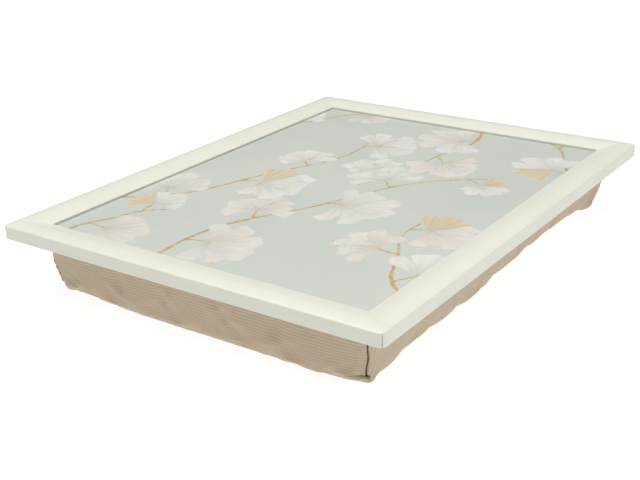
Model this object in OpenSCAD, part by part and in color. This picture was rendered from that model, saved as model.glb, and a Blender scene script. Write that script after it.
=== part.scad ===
// Lap tray: a mitred wooden frame round a printed panel, lying on a bead cushion.
// Millimetres, +Z up. The origin is the middle of the cushion's flat underside.
// +X runs along the tray's long sides, and the tray's front is at -Y.

/* [Tray frame] */
// Length of the tray over its rails
tray_w = 440; // [320:5:560]
// Width of the tray over its rails
tray_d = 340; // [260:5:460]
// Width of a rail seen from above
rail_w = 26.4; // [24:0.2:36]
// Height of a rail at its crown
rail_h = 11.5; // [10.5:0.1:18]
// Distance of the crown from the rail's outer edge
crown_in = 10; // [7:0.5:14]
// Rise of the outer shoulder up to the crown
crown_rise = 2; // [0.5:0.1:3.5]
// Fall of the face from the crown to the inner lip
crown_drop = 3.65; // [1:0.05:5]
// How fast the face bends down towards the lip, where 1 is a straight slope
face_bend = 1.5; // [1:0.1:2.5]
// Radius of the frame's outer corners seen from above
corner_r = 4.5; // [1:0.5:6]
// Width of the lip that covers the panel's edge
lip_w = 6; // [3:0.5:7]
// Depth of the rebate, from a rail's underside up to its lip
rebate_h = 6; // [5:0.1:6.8]

/* [Panel] */
// Thickness of the printed sheet
print_t = 0.4; // [0.2:0.1:1]
// Thickness of the board behind it
board_t = 3; // [2.5:0.1:4]
// Gap between the panel's edge and the rebate's wall
panel_gap = 0.4; // [0.1:0.1:1]

/* [Frame fasteners] */
// Wedge nails across each mitre
nails_per_corner = 2; // [1:1:2]
// Distance of the first wedge nail from the two outer edges
nail_in = 5.5; // [4:0.5:6]
// Spacing of the wedge nails along the mitre, counted along a rail
nail_pitch = 8; // [6:0.5:8.5]
// Length of a wedge nail's leg
nail_leg = 4; // [2:0.5:5]
// Height of a wedge nail
nail_h = 6; // [4:0.5:7]
// Thickness of a wedge nail's strip
nail_t = 0.6; // [0.4:0.1:0.8]
// Depth that a wedge nail is sunk below the rail's underside
nail_sunk = 0.3; // [0.1:0.1:1]
// Board points in each long rail
points_long = 3; // [1:1:5]
// Board points in each short rail
points_short = 2; // [1:1:4]
// Length of a board point inside the rail
point_in = 6; // [3:0.5:8]
// Length of a board point over the board
point_out = 8; // [4:0.5:12]
// Width of a board point
point_w = 6; // [4:0.5:10]
// Thickness of a board point
point_t = 0.5; // [0.3:0.1:0.8]
// Gap round a nail or a point in its slot
slot_gap = 0.05; // [0.02:0.01:0.1]

/* [Hook and loop tapes] */
// Length of a tape
tape_w = 90; // [40:5:110]
// Width of a tape
tape_d = 25; // [15:1:40]
// Thickness of the hook tape on the board
hook_t = 1.3; // [0.8:0.1:1.6]
// Thickness of the loop tape on the cushion
loop_t = 1.3; // [0.8:0.1:1.6]
// Distance of the tapes from the cushion's edges
tape_in = 28; // [20:1:45]

/* [Cushion] */
// Height of the cushion
cushion_h = 50; // [30:1:90]
// Distance of the cushion's top edge from the tray's outer edge
cushion_in = 22; // [16:0.5:45]
// How far each long side is drawn in from the top edge down to the floor
side_lean = 11; // [2:0.5:16]
// How far each short side is drawn in from the top edge down to the floor
end_lean = 2.5; // [0:0.5:16]
// Outward swell at the middle of each side
side_swell = 0.5; // [0:0.5:6]
// Outward belly of the sides halfway up
side_belly = 3; // [0:0.1:4]
// Corner radius at the top edge, seen from above
top_corner_r = 6; // [4:0.5:16]
// Corner radius at the floor, seen from above
foot_corner_r = 12; // [8:1:36]
// Radius of the roll between the sides and the underside
foot_roll = 9; // [6:0.5:14]
// Depth that the underside is flattened where it rests
foot_flat = 0.5; // [0.3:0.1:1]
// Thickness of the ribbed cover
cover_t = 1.2; // [0.8:0.1:2.5]
// Thickness of the top cloth
cloth_t = 0.8; // [0.5:0.1:1.5]
// Gap between the cover and the fill
fill_gap = 0.2; // [0.1:0.1:0.5]

/* [Hidden] */

// Heights, from the floor up
board_z = cushion_h + loop_t + hook_t;
print_z = board_z + board_t;
rail_z = print_z + print_t - rebate_h;

// Rail section: inset from the outer edge, height above the rail's underside
arris_h = rail_h - crown_rise;
rebate_in = rail_w - lip_w;
corner_steps = 4;
shoulder_steps = 6;
crown_steps = 4;
face_steps = 8;

// Panel
panel_w = tray_w - 2 * (rebate_in + panel_gap);
panel_d = tray_d - 2 * (rebate_in + panel_gap);

// Cushion outline at its top edge
cushion_hw = tray_w / 2 - cushion_in;
cushion_hd = tray_d / 2 - cushion_in;
rim_z = cushion_h - cloth_t;
tape_x = cushion_hw - tape_in - tape_w / 2;
tape_y = cushion_hd - tape_in - tape_d / 2;

// Cushion facets: steps round a corner, along a long side and a short side
bend_steps = 5;
long_steps = 8;
short_steps = 6;
side_levels = 5;
roll_levels = 5;

// Cuts reach this far past the faces that they open
past = 1;

ivory = [0.93, 0.93, 0.86];
pale_grey = [0.80, 0.83, 0.80];
board_brown = [0.62, 0.47, 0.33];
steel = [0.70, 0.71, 0.73];
taupe = [0.70, 0.63, 0.55];
dark_taupe = [0.52, 0.46, 0.40];
tape_grey = [0.86, 0.84, 0.79];
bead_white = [0.97, 0.97, 0.96];

// The rail's section, from the underside's outer corner up and over to the rebate: a quarter
// ellipse up to the crown, then a face that bends down to the lip. The ellipse has a point
// just as far in as the corner's radius.
turn_a = acos(1 - corner_r / crown_in);
function on_shoulder(a) = [crown_in * (1 - cos(a)), arris_h + crown_rise * sin(a)];
section = concat(
  [[0, 0]],
  [for (i = [0:shoulder_steps - 1]) on_shoulder(turn_a * i / shoulder_steps)],
  [[corner_r, on_shoulder(turn_a)[1]]],
  [for (i = [1:crown_steps]) on_shoulder(turn_a + (90 - turn_a) * i / crown_steps)],
  [for (i = [1:face_steps]) let (f = i / face_steps)
    [crown_in + (rail_w - crown_in) * f, rail_h - crown_drop * pow(f, face_bend)]],
  [[rail_w, rebate_h], [rebate_in, rebate_h], [rebate_in, 0]]
);
section_n = len(section);
stations = corner_steps + 1;

// A section point's places at a rail's left end: what lies within the corner's radius turns
// about the corner's centre from the mitre to the straight stretch, and the rest is on the mitre
function end_point(p, j) = let (a = -135 + 45 * j / corner_steps, reach = corner_r - p[0])
  reach > 0 ? [corner_r + reach * cos(a), corner_r + reach * sin(a), p[1]] : [p[0], p[0], p[1]];
function end_points() = [for (p = section) for (j = [0:corner_steps]) end_point(p, j)];
function point_id(side, k, j) =
  (side * section_n + k) * stations + (section[k][0] < corner_r ? j : 0);

// A face without its repeated corners
function lean_face(f) = [for (i = [0:len(f) - 1]) if (f[i] != f[(i + 1) % len(f)]) f[i]];

// A rail along +X from its left outer corner, with its section towards +Y and both ends mitred
module plain_rail(len_x) {
  left = end_points();
  right = [for (p = left) [len_x - p[0], p[1], p[2]]];
  turns = [for (k = [0:section_n - 2]) if (section[k][0] < corner_r) for (j = [0:corner_steps - 1])
    each [
      lean_face([point_id(0, k, j), point_id(0, k + 1, j), point_id(0, k + 1, j + 1), point_id(0, k, j + 1)]),
      lean_face([point_id(1, k, j + 1), point_id(1, k + 1, j + 1), point_id(1, k + 1, j), point_id(1, k, j)])
    ]];
  lengths = [for (k = [0:section_n - 2]) [
    point_id(0, k, corner_steps), point_id(0, k + 1, corner_steps),
    point_id(1, k + 1, corner_steps), point_id(1, k, corner_steps)
  ]];
  underside = concat(
    [for (j = [0:corner_steps]) point_id(0, 0, j)],
    [for (j = [corner_steps:-1:0]) point_id(1, 0, j)],
    [point_id(1, section_n - 1, 0), point_id(0, section_n - 1, 0)]
  );
  left_mitre = [for (k = [section_n - 1:-1:0]) point_id(0, k, 0)];
  right_mitre = [for (k = [0:section_n - 1]) point_id(1, k, 0)];
  polyhedron(
    points = concat(left, right),
    faces = concat(turns, lengths, [underside, left_mitre, right_mitre])
  );
}

// Where a wedge nail's bend lies, counted along both rails from their outer corner
function nail_at(i) = nail_in + i * nail_pitch;

// Bent strips across a mitre whose outer corner is the origin, with one leg in each rail
module wedge_nails() {
  for (i = [0:nails_per_corner - 1])
    translate([nail_at(i), nail_at(i), nail_sunk]) {
      cube([nail_leg, nail_t, nail_h]);
      cube([nail_t, nail_leg, nail_h]);
    }
}

// The slots of those nails in one rail, open at its underside and through its mitre
module nail_slots() {
  for (i = [0:nails_per_corner - 1])
    translate([nail_at(i) - past, nail_at(i) - slot_gap, -past])
      cube([past + nail_leg + slot_gap, nail_t + 2 * slot_gap, past + nail_sunk + nail_h + slot_gap]);
}

// Flat points along a rail of this length, half in the rail and half under the board
module rail_points(len_x, count, gap) {
  for (i = [0:count - 1])
    translate([len_x * (i + 0.5) / count - point_w / 2 - gap, rebate_in - point_in - gap,
        board_z - rail_z - point_t - gap])
      cube([point_w + 2 * gap, point_in + point_out + 2 * gap, point_t + 2 * gap]);
}

module rail(len_x, points) {
  color(ivory)
    difference() {
      plain_rail(len_x);
      nail_slots();
      translate([len_x, 0]) mirror([1, 0]) nail_slots();
      rail_points(len_x, points, slot_gap);
    }
}

// Puts a rail's own frame on one side of the tray: 0 front, 1 right, 2 back, 3 left
module on_side(side) {
  x = (side == 0 || side == 3 ? -1 : 1) * tray_w / 2;
  y = (side < 2 ? -1 : 1) * tray_d / 2;
  translate([x, y, rail_z]) rotate(90 * side) children();
}

module front_rail() {
  on_side(0) rail(tray_w, points_long);
}

module right_rail() {
  on_side(1) rail(tray_d, points_short);
}

module back_rail() {
  on_side(2) rail(tray_w, points_long);
}

module left_rail() {
  on_side(3) rail(tray_d, points_short);
}

module corner_wedge_nails() {
  color(steel)
    for (side = [0:3])
      on_side(side) wedge_nails();
}

module board_points() {
  color(steel)
    for (side = [0:3])
      on_side(side)
        rail_points(side % 2 == 0 ? tray_w : tray_d, side % 2 == 0 ? points_long : points_short, 0);
}

// A sheet centred on the origin, from this height up
module sheet_at(w, d, z, t) {
  translate([-w / 2, -d / 2, z]) cube([w, d, t]);
}

module backing_board() {
  color(board_brown) sheet_at(panel_w, panel_d, board_z, board_t);
}

module printed_panel() {
  color(pale_grey) sheet_at(panel_w, panel_d, print_z, print_t);
}

// The tapes of one corner lie face to face: loops on the cushion, hooks on the board
module hook_tape(side_x, side_y) {
  color(tape_grey)
    translate([side_x * tape_x, side_y * tape_y]) sheet_at(tape_w, tape_d, cushion_h + loop_t, hook_t);
}

module loop_tape(side_x, side_y) {
  color(taupe)
    translate([side_x * tape_x, side_y * tape_y]) sheet_at(tape_w, tape_d, cushion_h, loop_t);
}

// Cushion outline: a rounded rectangle whose sides swell outwards, as a list of points
function corner_at(q, hw, hd, r) =
  [(q == 0 || q == 3 ? 1 : -1) * (hw - r), (q < 2 ? 1 : -1) * (hd - r)];
function on_arc(q, a, hw, hd, r) = corner_at(q, hw, hd, r) + r * [cos(a), sin(a)];
function on_edge(q, f, hw, hd, r, swell) =
  let (from = on_arc(q, 90 * (q + 1), hw, hd, r), to = on_arc((q + 1) % 4, 90 * (q + 1), hw, hd, r))
  from + f * (to - from) + swell * sin(180 * f) * [cos(90 * (q + 1)), sin(90 * (q + 1))];
function edge_steps(q) = q % 2 == 0 ? long_steps : short_steps;
function outline(hw, hd, r, swell) =
  [for (q = [0:3]) for (s = [0:bend_steps + edge_steps(q) - 1])
    s <= bend_steps
      ? on_arc(q, 90 * q + 90 * s / bend_steps, hw, hd, r)
      : on_edge(q, (s - bend_steps) / edge_steps(q), hw, hd, r, swell)];

// How far down a level is: 0 at the top edge, 1 at the floor
function depth_at(z) = 1 - z / rim_z;
function roll_in(z) = z >= foot_roll - foot_flat ? 0
  : foot_roll - sqrt(pow(foot_roll, 2) - pow(foot_roll - foot_flat - z, 2));
function inset_at(lean, z) = lean * depth_at(z) - side_belly * sin(180 * depth_at(z)) + roll_in(z);
function corner_r_at(z) = top_corner_r + (foot_corner_r - top_corner_r) * depth_at(z);
function swell_at(z) = side_swell * sin(90 * min(1, 2 * depth_at(z)));

// Levels from the top edge down: even steps down the side, then even turns round the roll
roll_top = foot_roll - foot_flat;
roll_end = acos((foot_roll - foot_flat) / foot_roll);
levels = concat(
  [for (i = [0:side_levels - 1]) rim_z + (roll_top - rim_z) * i / side_levels],
  [for (i = [0:roll_levels]) roll_top - foot_roll * cos(90 - (90 - roll_end) * i / roll_levels)]
);

// One ring of the cushion's skin, or of a skin that lies this far inside it
function ring(z, in, lift) =
  [for (p = outline(cushion_hw - inset_at(end_lean, z) - in, cushion_hd - inset_at(side_lean, z) - in,
    corner_r_at(z) - in, swell_at(z))) [p[0], p[1], max(z, lift)]];
// Inner rings stop above the underside's thickness
function skin(in) = [for (z = levels) each ring(z, in, in)];

// Points in a ring and in a whole skin, and where a skin's lowest ring begins
ring_n = 4 * (bend_steps + 1) + 2 * (long_steps - 1) + 2 * (short_steps - 1);
rings = len(levels);
skin_n = rings * ring_n;
foot_n = skin_n - ring_n;

// Faces between rings, both triangles of each quad, turned inside out where asked
function wall_faces(first, flip) =
  [for (k = [0:rings - 2]) for (i = [0:ring_n - 1])
    let (a = first + k * ring_n + i, b = first + k * ring_n + (i + 1) % ring_n,
      c = a + ring_n, d = b + ring_n)
    each flip ? [[a, c, b], [b, c, d]] : [[a, b, c], [b, d, c]]];
function fan_faces(first, middle, flip) =
  [for (i = [0:ring_n - 1]) let (a = first + i, b = first + (i + 1) % ring_n)
    flip ? [a, middle, b] : [a, b, middle]];

module cushion_cover() {
  color(taupe)
    polyhedron(
      points = concat(skin(0), skin(cover_t), [[0, 0, 0], [0, 0, cover_t]]),
      faces = concat(
        wall_faces(0, false),
        wall_faces(skin_n, true),
        fan_faces(foot_n, 2 * skin_n, false),
        fan_faces(skin_n + foot_n, 2 * skin_n + 1, true),
        [for (i = [0:ring_n - 1]) let (j = (i + 1) % ring_n)
          each [[i, skin_n + i, j], [j, skin_n + i, skin_n + j]]]
      )
    );
}

module cushion_top_cloth() {
  color(dark_taupe)
    translate([0, 0, rim_z])
      linear_extrude(cloth_t) polygon(outline(cushion_hw, cushion_hd, top_corner_r, 0));
}

module bead_fill() {
  in = cover_t + fill_gap;
  color(bead_white)
    polyhedron(
      points = concat(skin(in), [[0, 0, rim_z], [0, 0, in]]),
      faces = concat(
        wall_faces(0, false),
        fan_faces(0, skin_n, true),
        fan_faces(foot_n, skin_n + 1, false)
      )
    );
}

front_rail();
back_rail();
left_rail();
right_rail();
corner_wedge_nails();
board_points();
backing_board();
printed_panel();
hook_tape(-1, -1);  // front_left_hook_tape
hook_tape(1, -1);  // front_right_hook_tape
hook_tape(-1, 1);  // back_left_hook_tape
hook_tape(1, 1);  // back_right_hook_tape
loop_tape(-1, -1);  // front_left_loop_tape
loop_tape(1, -1);  // front_right_loop_tape
loop_tape(-1, 1);  // back_left_loop_tape
loop_tape(1, 1);  // back_right_loop_tape
cushion_cover();
cushion_top_cloth();
bead_fill();
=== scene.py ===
import math

import bpy
import numpy as np
from bpy.props import (
    FloatProperty,
    FloatVectorProperty,
    IntProperty,
    PointerProperty,
)
from mathutils import Matrix, Vector


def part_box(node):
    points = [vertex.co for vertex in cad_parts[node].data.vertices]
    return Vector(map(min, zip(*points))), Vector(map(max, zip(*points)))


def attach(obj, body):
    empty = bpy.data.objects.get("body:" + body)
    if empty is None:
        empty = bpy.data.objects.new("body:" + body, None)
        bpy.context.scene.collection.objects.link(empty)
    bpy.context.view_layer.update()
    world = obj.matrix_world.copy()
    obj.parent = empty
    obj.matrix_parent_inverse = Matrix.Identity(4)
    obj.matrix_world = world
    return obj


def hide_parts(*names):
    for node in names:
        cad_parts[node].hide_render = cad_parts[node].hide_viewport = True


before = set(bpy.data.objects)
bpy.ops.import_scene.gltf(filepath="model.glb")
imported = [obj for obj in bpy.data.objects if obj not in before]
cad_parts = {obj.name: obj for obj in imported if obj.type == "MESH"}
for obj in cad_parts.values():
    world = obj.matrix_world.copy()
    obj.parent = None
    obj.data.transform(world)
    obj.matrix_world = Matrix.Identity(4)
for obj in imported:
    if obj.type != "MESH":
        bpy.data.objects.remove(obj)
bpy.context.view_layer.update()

bl_info = {
    "name": "Lap tray looks",
    "version": (1, 0, 0),
    "blender": (4, 5, 0),
    "location": "View3D > Sidebar > Lap tray",
    "description": "Dresses a framed lap tray and its bead cushion, with a stage and a camera",
    "category": "Object",
}

MM = 0.001
LONG_RAILS = ("front_rail", "back_rail")
SHORT_RAILS = ("left_rail", "right_rail")
CORNERS = ("front_left", "front_right", "back_left", "back_right")

# Places from the frame, in metres
RAIL_LO, RAIL_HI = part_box("front_rail")
TRAY_HALF = Vector((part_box("right_rail")[1].x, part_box("back_rail")[1].y))
PRINT_LO, PRINT_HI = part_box("printed_panel")
RAIL_WIDTH = RAIL_HI.y - RAIL_LO.y
LIP_EDGE = Vector((TRAY_HALF.x - RAIL_WIDTH, TRAY_HALF.y - RAIL_WIDTH))
CLOTH_LO, CLOTH_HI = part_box("cushion_top_cloth")
COVER_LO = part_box("cushion_cover")[0]

# Where the beads lie thick or thin in the lower half: a place round the cushion, counted in
# quarters from the back right corner by way of the back left one, how far it reaches either way, how far the
# cover stands out there and how far its foot is off the floor, in millimetres
UNEVEN_FILL = (
    (1.0, 0.15, 2.5, 0.0),
    (1.18, 0.25, -1.8, 2.8),
    (1.6, 0.6, -1.1, 0.0),
    (2.1, 0.16, -0.4, 1.7),
    (2.22, 0.12, 2.6, 0.0),
    (2.31, 0.14, -0.5, 1.3),
    (2.8, 0.32, -2.6, 2.7),
    (3.09, 0.14, 6.0, 3.6),
    (3.22, 0.16, 1.5, 1.2),
)
# How far each corner's seam is sewn off its place, as a share of the corner's bend
SEAM_SHIFTS = (0.05, -0.3, 0.0, -0.1)

# The print's twigs: where each starts and stops, as shares of the sheet's half sizes, how far it bows
# sideways in millimetres, and how large its tufts are along it
TWIGS = (
    ((-1.02, 0.24), (0.40, -0.66), 36, (1.0, 0.8, 1.0, 0.9, 0.6)),
    ((-0.62, 1.02), (0.62, 0.34), -34, (0.9, 1.0, 0.7, 1.0)),
    ((1.02, -0.16), (0.16, 0.02), 22, (1.0, 0.9, 0.7)),
    ((0.40, -1.02), (1.00, -0.60), -16, (0.9, 0.6)),
    ((-0.82, -1.03), (-0.20, -0.64), 16, (1.0, 0.8, 0.9)),
    ((0.46, 1.02), (1.02, 0.62), 14, (0.8, 0.6)),
    ((-1.02, 0.86), (-0.60, 0.62), 10, (0.9, 0.7)),
)
# A tuft's leaves, the outer ones first and the middle one on top: each one's turn and its share of the reach
TUFT = ((-1.35, 0.78), (1.3, 0.82), (-0.62, 0.94), (0.66, 0.9), (0.05, 1.0))
# A stalk from its twig to its tuft's foot: the least and greatest length, how far it runs on under the
# leaves, how far it bows, and its widths along the way
STALK_LENGTHS = (10 * MM, 18 * MM)
STALK_END = 6 * MM
STALK_BOW = 2 * MM
STALK_WIDTHS = (2.4 * MM, 2.0 * MM, 1.8 * MM, 1.6 * MM, 1.4 * MM)
# A leaf's rim: waves as their count in a full turn and their size as a share of the reach, the width of its
# split in radians, and how far its shade reaches on the leaf below
RIM_WAVES = ((3, 0.05), (8, 0.035), (17, 0.018))
SPLIT_WIDTH = 0.075
EDGE_SHADE = 2.6 * MM

# The cover's grid: spacing of its columns at a seam and away from it, how far the fine ones reach, and how
# many stand in a corner's bend
SEAM_PITCH = 0.4 * MM
SIDE_PITCH = 1.6 * MM
FINE_REACH = 14 * MM
BEND_STEPS = 36
SETTLING_FRAMES = 20
# A corner seam: how far its relief reaches round the outline, where it ends above the underside's edge, how
# high its tuck lies, and how far the tuck's lip runs on as a share of the tuck's length
SEAM_REACH = 30 * MM
SEAM_FOOT = 14 * MM
TUCK_HEIGHT = 14.6 * MM
LIP_END = 0.7
# The top cloth's seam lies this far inside its edge, and a thread has this many sides
TOP_SEAM_INSET = 5 * MM
THREAD_SIDES = 6

# The studio's square lights: where each stands and how long its sides are, in metres
LIGHTS = {
    "key": ((-0.2, 0.2, 2.1), 1.8),
    "fill": ((-0.15, -0.8, 0.5), 0.5),
}
# A rail's bends that are flatter than this shade smoothly
SHARP_ANGLE = math.radians(28)


def linear(red, green, blue):
    """A screen colour of 0 to 255 as the linear colour that a shader takes."""
    def one(value):
        share = value / 255
        return share / 12.92 if share <= 0.04045 else ((share + 0.055) / 1.055) ** 2.4
    return one(red), one(green), one(blue)


def length(name, description, millimetres, low=0.0, high=1000.0):
    """A length, written in millimetres and kept in metres."""
    return FloatProperty(
        name=name, description=description, default=millimetres * MM,
        min=low * MM, max=high * MM, unit="LENGTH", precision=5)


def amount(name, description, default, low=0.0, high=1000.0):
    return FloatProperty(name=name, description=description, default=default, min=low, max=high)


def angle(name, description, degrees):
    return FloatProperty(
        name=name, description=description, default=math.radians(degrees), subtype="ANGLE")


def colour(name, description, red, green, blue):
    return FloatVectorProperty(
        name=name, description=description, subtype="COLOR", size=3,
        min=0.0, max=1.0, default=linear(red, green, blue))


class LapTrayStage(bpy.types.PropertyGroup):
    """The camera as solved from the photograph's frame corners, and the studio."""

    camera_x: length("Camera X", "Camera's place along the long sides", -711.4, -2000, 2000)
    camera_y: length("Camera Y", "Camera's place along the short sides", -469.8, -2000, 2000)
    camera_z: length("Camera height", "Camera's height over the floor", 358.6, -2000, 2000)
    heading: angle("Heading", "Direction of view, turned from the long sides", 34.99)
    fall: angle("Downward tilt", "How far the view points below the horizon", 22.37)
    roll: angle("Roll", "Turn about the line of sight", -1.38)
    lens: amount("Lens", "Focal length on a 36 mm wide sensor, in millimetres", 60.8, 20, 200)
    floor_size: length("Floor size", "Side of the square floor", 24000, 1000, 90000)
    floor_colour: colour("Floor", "Colour of the floor under the studio's light", 150, 150, 150)
    floor_glow: amount("Floor glow", "Light of the floor's own, as from a lit studio table", 0.855)
    room_colour: colour("Room", "Colour of the room behind the tray", 240, 240, 240)
    room_light: amount("Room light", "Strength of the even light from all round", 0.155)
    key_power: amount("Key light", "Power of the large light above and behind, in watts", 46.2)
    fill_power: amount("Fill light", "Power of the small light before the long side, in watts", 1.1)


class LapTrayPaint(bpy.types.PropertyGroup):
    """The rails' satin paint."""

    ivory: colour("Ivory", "Paint colour", 237, 238, 224)
    shade: colour("Thin paint", "Paint colour where the brush left less", 230, 231, 214)
    line: colour("Joint line", "Colour in the open line of a mitre", 120, 118, 98)
    line_width: length("Joint line width", "Width of a mitre's line", 0.35, 0.05, 2)
    brush_length: length("Brush stroke length", "Length of the faint brush strokes", 60, 5, 300)
    brush_width: length("Brush stroke width", "Width of the faint brush strokes", 1.6, 0.2, 10)
    roughness: amount("Roughness", "Roughness of the paint", 0.42, 0, 1)


class LapTrayPrint(bpy.types.PropertyGroup):
    """The printed sheet's generic design: fan leaves on gold twigs over a washed ground."""

    ground: colour("Ground", "Pale grey ground", 203, 209, 202)
    ground_warm: colour("Warm wash", "Warmer wash in the ground", 211, 212, 202)
    ground_cool: colour("Cool wash", "Cooler wash in the ground", 192, 201, 196)
    white: colour("White leaf", "Body colour of the white leaves", 232, 233, 227)
    blush: colour("Blush", "Blush in the leaves", 228, 210, 194)
    grey: colour("Leaf shade", "Grey shading in the leaves", 192, 192, 184)
    gold: colour("Gold", "Gold of the twigs and accents", 211, 186, 128)
    gold_deep: colour("Deep gold", "Darker strokes in the gold", 184, 152, 92)
    pitch: length("Grid pitch", "Spacing of the sheet's mesh", 1.18, 0.5, 10)
    layout: IntProperty(
        name="Layout", description="Number that the tufts' places are drawn from", default=41, min=0)
    leaf_reach: length("Leaf reach", "Length of a large leaf's blade", 50, 10, 80)
    twig_width: length("Twig width", "Width of a main twig", 3.3, 0.3, 8)
    # The dark line along the lips is painted shade in the gap under them
    lip_shade_width: length("Gap line", "Width of the dark line along the lips", 0.45, 0, 3)
    lip_shade_colour: colour("Gap", "Colour of the dark line along the lips", 104, 99, 78)
    roughness: amount("Roughness", "Roughness of the wipe-clean surface", 0.46, 0, 1)


class LapTrayCushion(bpy.types.PropertyGroup):
    """The cushion's section, as its solid has it, and its cloth."""

    lean: length("Side lean", "How far the long sides are drawn in towards the floor", 11, 0, 30)
    end_lean: length("End lean", "How far the short sides are drawn in towards the floor", 2.5, 0, 30)
    swell: length("Side swell", "Outward swell at the middle of a side", 0.5, 0, 10)
    belly: length("Side belly", "Outward belly halfway up a side", 3, 0, 5)
    top_corner: length("Top corner radius", "Corner radius at the top edge", 6, 2, 30)
    foot_corner: length("Foot corner radius", "Corner radius at the floor", 12, 5, 60)
    foot_roll: length("Foot roll", "Radius between the sides and the underside", 9, 3, 20)
    foot_flat: length("Foot flat", "How far the underside is flattened", 0.5, 0.1, 3)
    wall: length("Cover thickness", "Thickness of the cover", 1.2, 0.3, 4)
    start_in: length("Start inset", "How much smaller the cover starts before it swells", 1.0, 0, 10)
    travel: length("Swelling limit", "Farthest that the cover may swell or sink in", 1.7, 0.1, 30)
    pressure: amount("Pressure", "Pressure of the beads on the cover", 4)
    spare_cloth: amount("Spare cloth", "Share by which the cover is larger than its shape", 0.006, 0, 0.2)
    rib_pitch: length("Rib pitch", "Distance between two ribs of the cloth", 2.4, 0.5, 8)
    rib_depth: length("Rib depth", "Depth of the grooves between the ribs", 0.16, 0, 2)
    rib_rise: length("Rib rise", "How far a short side's ribs are drawn up at its corners", 4.5, 0, 20)
    thread_pitch: length("Thread pitch", "Distance between two threads", 0.42, 0.1, 2)
    seam_share: amount("Seam place", "Share of a corner's bend that lies before its seam", 0.45, 0, 1)
    seam_depth: length("Seam depth", "Depth of a corner seam", 1.8, 0, 6)
    seam_slant: length("Seam slant", "How far a seam runs on round its corner down to the floor", 7.5, 0, 30)
    tuck_reach: length("Tuck length", "Length of the tuck under a corner seam", 16, 0, 60)
    tuck_lip: length("Tuck lip", "How far the cloth stands out under the tuck", 1.4, 0, 8)
    taupe: colour("Taupe", "Cloth on the ribs", 212, 194, 170)
    # Between the ribs the groove colour is painted shade in the grooves; it is also the darker tone of the
    # cloth's uneven mottle
    groove: colour("Groove", "Cloth between the ribs", 190, 172, 149)
    # Painted shade: the colour that darkens the cloth deep in the corner seams and their tucks
    seam_shade: colour("Fold", "Cloth deep in a seam", 74, 60, 45)
    lining: colour("Top cloth", "Plain cloth under the tray", 150, 136, 118)


class LapTrayHidden(bpy.types.PropertyGroup):
    """What shows when the tray is lifted or turned over."""

    board: colour("Board", "Backing board", 142, 108, 76)
    board_dark: colour("Board fibre", "Darker fibres in the board", 104, 76, 52)
    steel: colour("Steel", "Nails and points", 186, 187, 190)
    tape: colour("Tape", "Hook and loop tapes", 206, 199, 184)
    thread: colour("Thread", "Sewing thread", 176, 158, 134)
    stitch: length("Stitch length", "Length of a stitch", 3.2, 1, 10)
    stitch_gap: length("Stitch gap", "Gap between two stitches", 1.3, 0.2, 5)
    thread_width: length("Thread width", "Thickness of the thread", 0.55, 0.1, 2)


# Shader trees


class Net:
    """Adds nodes to a tree and links them by socket name; a colour, number or socket can feed an input."""

    def __init__(self, tree):
        self.tree = tree
        self.count = 0

    def add(self, kind, ins=None, **settings):
        node = self.tree.nodes.new("ShaderNode" + kind)
        node.location = (220 * (self.count % 12), -260 * (self.count // 12))
        self.count += 1
        for key, value in settings.items():
            setattr(node, key, value)
        for socket, value in (ins or {}).items():
            self.feed(node.inputs[socket], value)
        return node

    def feed(self, socket, value):
        if isinstance(value, bpy.types.NodeSocket):
            self.tree.links.new(value, socket)
        elif socket.type == "RGBA" and len(value) == 3:
            socket.default_value = (*value, 1.0)
        else:
            socket.default_value = value

    def math(self, operation, a, b=0.0, c=0.0):
        return self.add("Math", {0: a, 1: b, 2: c}, operation=operation).outputs[0]

    def times(self, a, b):
        return self.math("MULTIPLY", a, b)

    def wave(self, value, pitch):
        """A sine that comes round once in each pitch."""
        return self.math("SINE", self.times(self.math("DIVIDE", value, pitch), math.tau))

    def blend(self, share, a, b):
        return self.add("Mix", {0: share, 6: a, 7: b}, data_type="RGBA").outputs[2]

    def tinge(self, share, most, a, b):
        """From a towards b by a share, times the most that it may be."""
        return self.blend(self.times(share, most), a, b)

    def step(self, value, low, high, out_low=0.0, out_high=1.0):
        """A smooth ramp: out_low up to low, out_high from high on."""
        node = self.add(
            "MapRange", {0: value, 1: low, 2: high, 3: out_low, 4: out_high},
            interpolation_type="SMOOTHSTEP", clamp=True)
        return node.outputs[0]

    def noise(self, vector, scale, detail=3.0, roughness=0.5):
        ins = {"Vector": vector, "Scale": scale, "Detail": detail, "Roughness": roughness}
        return self.add("TexNoise", ins).outputs[0]

    def parts(self, vector):
        return self.add("SeparateXYZ", {0: vector}).outputs

    def attribute(self, name, socket="Fac"):
        node = self.add("Attribute", attribute_name=name, attribute_type="GEOMETRY")
        return node.outputs[socket]


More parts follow.
